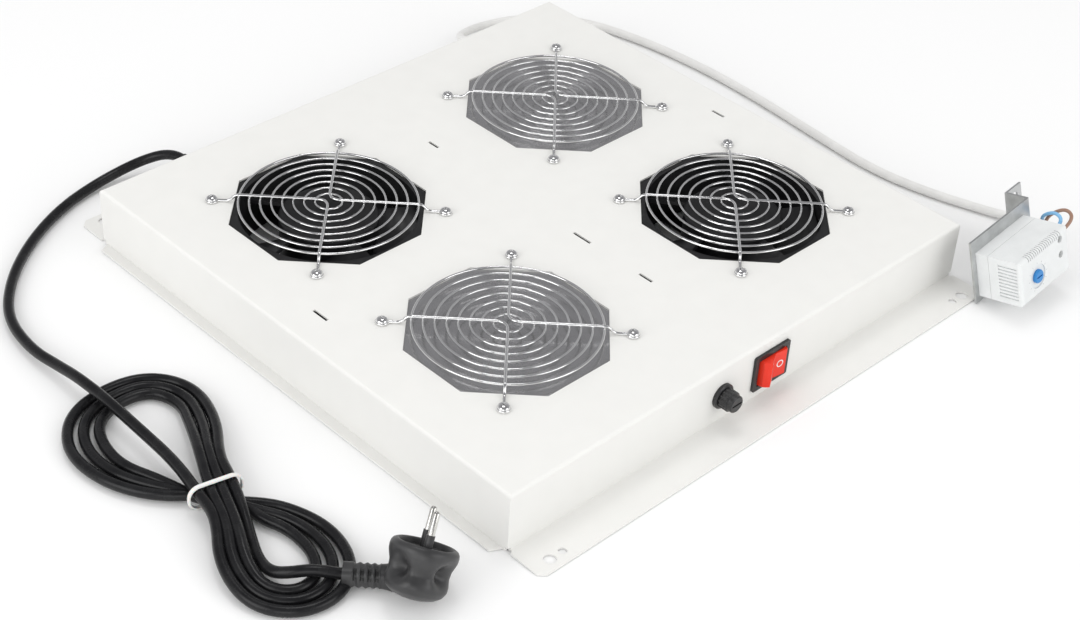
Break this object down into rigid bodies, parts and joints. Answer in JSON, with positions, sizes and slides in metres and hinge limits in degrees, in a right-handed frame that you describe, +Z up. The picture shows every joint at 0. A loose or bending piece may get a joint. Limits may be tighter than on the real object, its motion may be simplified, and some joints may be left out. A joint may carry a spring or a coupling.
{
  "type": "rack fan tray",
  "caption": "Square sheet-steel rack fan tray with axial fans under chrome finger guards, a lit rocker switch, a fuse holder, a mains lead with plug and a thermostat on a lead.",
  "frame": {"origin": "centre of the four rack holes, on the underside of the end flanges", "axes": "+Z up through the tray's top, -Y towards the wall with the switch, +X to the right seen from that wall"},
  "size_m": [0.6254, 0.5109, 0.0505],
  "materials": {
    "tray_paint": "fine textured",
    "plate_steel": "satin",
    "zinc_steel": "bright zinc",
    "galvanised_steel": "satin",
    "guard_chrome": "bright",
    "black_plastic": "satin",
    "red_rocker": "gloss",
    "brass_metal": "bright",
    "glass_tube": "clear",
    "black_rubber": "satin",
    "white_rubber": "satin",
    "cream_plastic": "satin",
    "earth_green": "satin",
    "brown_wire": "satin",
    "blue_wire": "satin",
    "blue_plastic": "gloss",
    "tie_plastic": "satin",
    "nickel": "bright",
    "fan_black_metal": "satin",
    "fan_black_plastic": "satin",
    "core_steel": "ground",
    "copper": "enamelled"
  },
  "bodies": {
    "tray": {"blanking_plate_front_left": "plate_steel", "blanking_plate_rear_right": "plate_steel", "bracket_screws": "zinc_steel", "cord_tie": "tie_plastic", "earth_nut": "zinc_steel", "earth_stud": "zinc_steel", "earth_wire": "earth_green", "fan_bearings_front_right": "core_steel", "fan_bearings_rear_left": "core_steel", "fan_frame_front_right": "fan_black_metal", "fan_frame_rear_left": "fan_black_metal", "fan_lead_front_right": "black_rubber", "fan_lead_rear_left": "black_rubber", "finger_guard_front_left": "guard_chrome", "finger_guard_front_right": "guard_chrome", "finger_guard_rear_left": "guard_chrome", "finger_guard_rear_right": "guard_chrome", "fuse_holder": "black_plastic", "fuse_holder_nut": "black_plastic", "fuse_lead": "black_rubber", "fuse_terminals": "brass_metal", "guard_nuts": "zinc_steel", "guard_screws": "zinc_steel", "mains_bushing": "black_rubber", "mains_cord": "black_rubber", "mains_cord_hank": "black_rubber", "mains_inner_lead": "black_rubber", "plug_body": "black_plastic", "plug_pins": "nickel", "stator_core_front_right": "core_steel", "stator_core_rear_left": "core_steel", "stator_windings_front_right": "copper", "stator_windings_rear_left": "copper", "switch_housing": "black_plastic", "switch_lead": "black_rubber", "switch_terminals": "brass_metal", "terminal_block": "cream_plastic", "terminal_screws": "zinc_steel", "thermostat_base": "cream_plastic", "thermostat_bracket": "galvanised_steel", "thermostat_bushing": "white_rubber", "thermostat_cable": "white_rubber", "thermostat_case": "cream_plastic", "thermostat_inner_lead": "white_rubber", "thermostat_screws": "zinc_steel", "thermostat_wire_blue": "blue_wire", "thermostat_wire_brown": "brown_wire", "tray_chassis": "tray_paint"},
    "rotor_front_right": {"fan_rotor_front_right": "fan_black_plastic", "rotor_cage_front_right": "core_steel", "fan_shaft_front_right": "core_steel", "shaft_clip_front_right": "core_steel"},
    "rotor_rear_left": {"fan_rotor_rear_left": "fan_black_plastic", "rotor_cage_rear_left": "core_steel", "fan_shaft_rear_left": "core_steel", "shaft_clip_rear_left": "core_steel"},
    "rocker": {"switch_rocker": "red_rocker"},
    "fuse_carrier": {"fuse_link": "glass_tube"},
    "fuse_twist_cap": {"fuse_cap": "black_plastic"},
    "dial": {"thermostat_dial": "blue_plastic"}
  },
  "joints": [
    {"name": "fan_spin_front_right", "type": "hinge", "parent": "tray", "child": "rotor_front_right", "pos_m": [0.1005, -0.083, 0.02], "axis": [0, 0, 1], "continuous": true},
    {"name": "fan_spin_rear_left", "type": "hinge", "parent": "tray", "child": "rotor_rear_left", "pos_m": [-0.1005, 0.083, 0.02], "axis": [0, 0, 1], "continuous": true},
    {"name": "rocker_tilt", "type": "hinge", "parent": "tray", "child": "rocker", "pos_m": [0.0146, -0.1878, 0.0205], "axis": [0, 0, 1], "range_deg": [-24, 0]},
    {"name": "fuse_draw", "type": "slide", "parent": "tray", "child": "fuse_carrier", "axis": [0, -1, 0], "range_m": [0, 0.03]},
    {"name": "fuse_cap_twist", "type": "hinge", "parent": "fuse_carrier", "child": "fuse_twist_cap", "pos_m": [-0.028, -0.195, 0.0196], "axis": [0, -1, 0], "range_deg": [0, 60]},
    {"name": "dial_turn", "type": "hinge", "parent": "tray", "child": "dial", "pos_m": [0.20815, -0.24885, 0.02783], "axis": [0.0145, -0.9683, 0.2493], "range_deg": [-150, 150]}
  ]
}
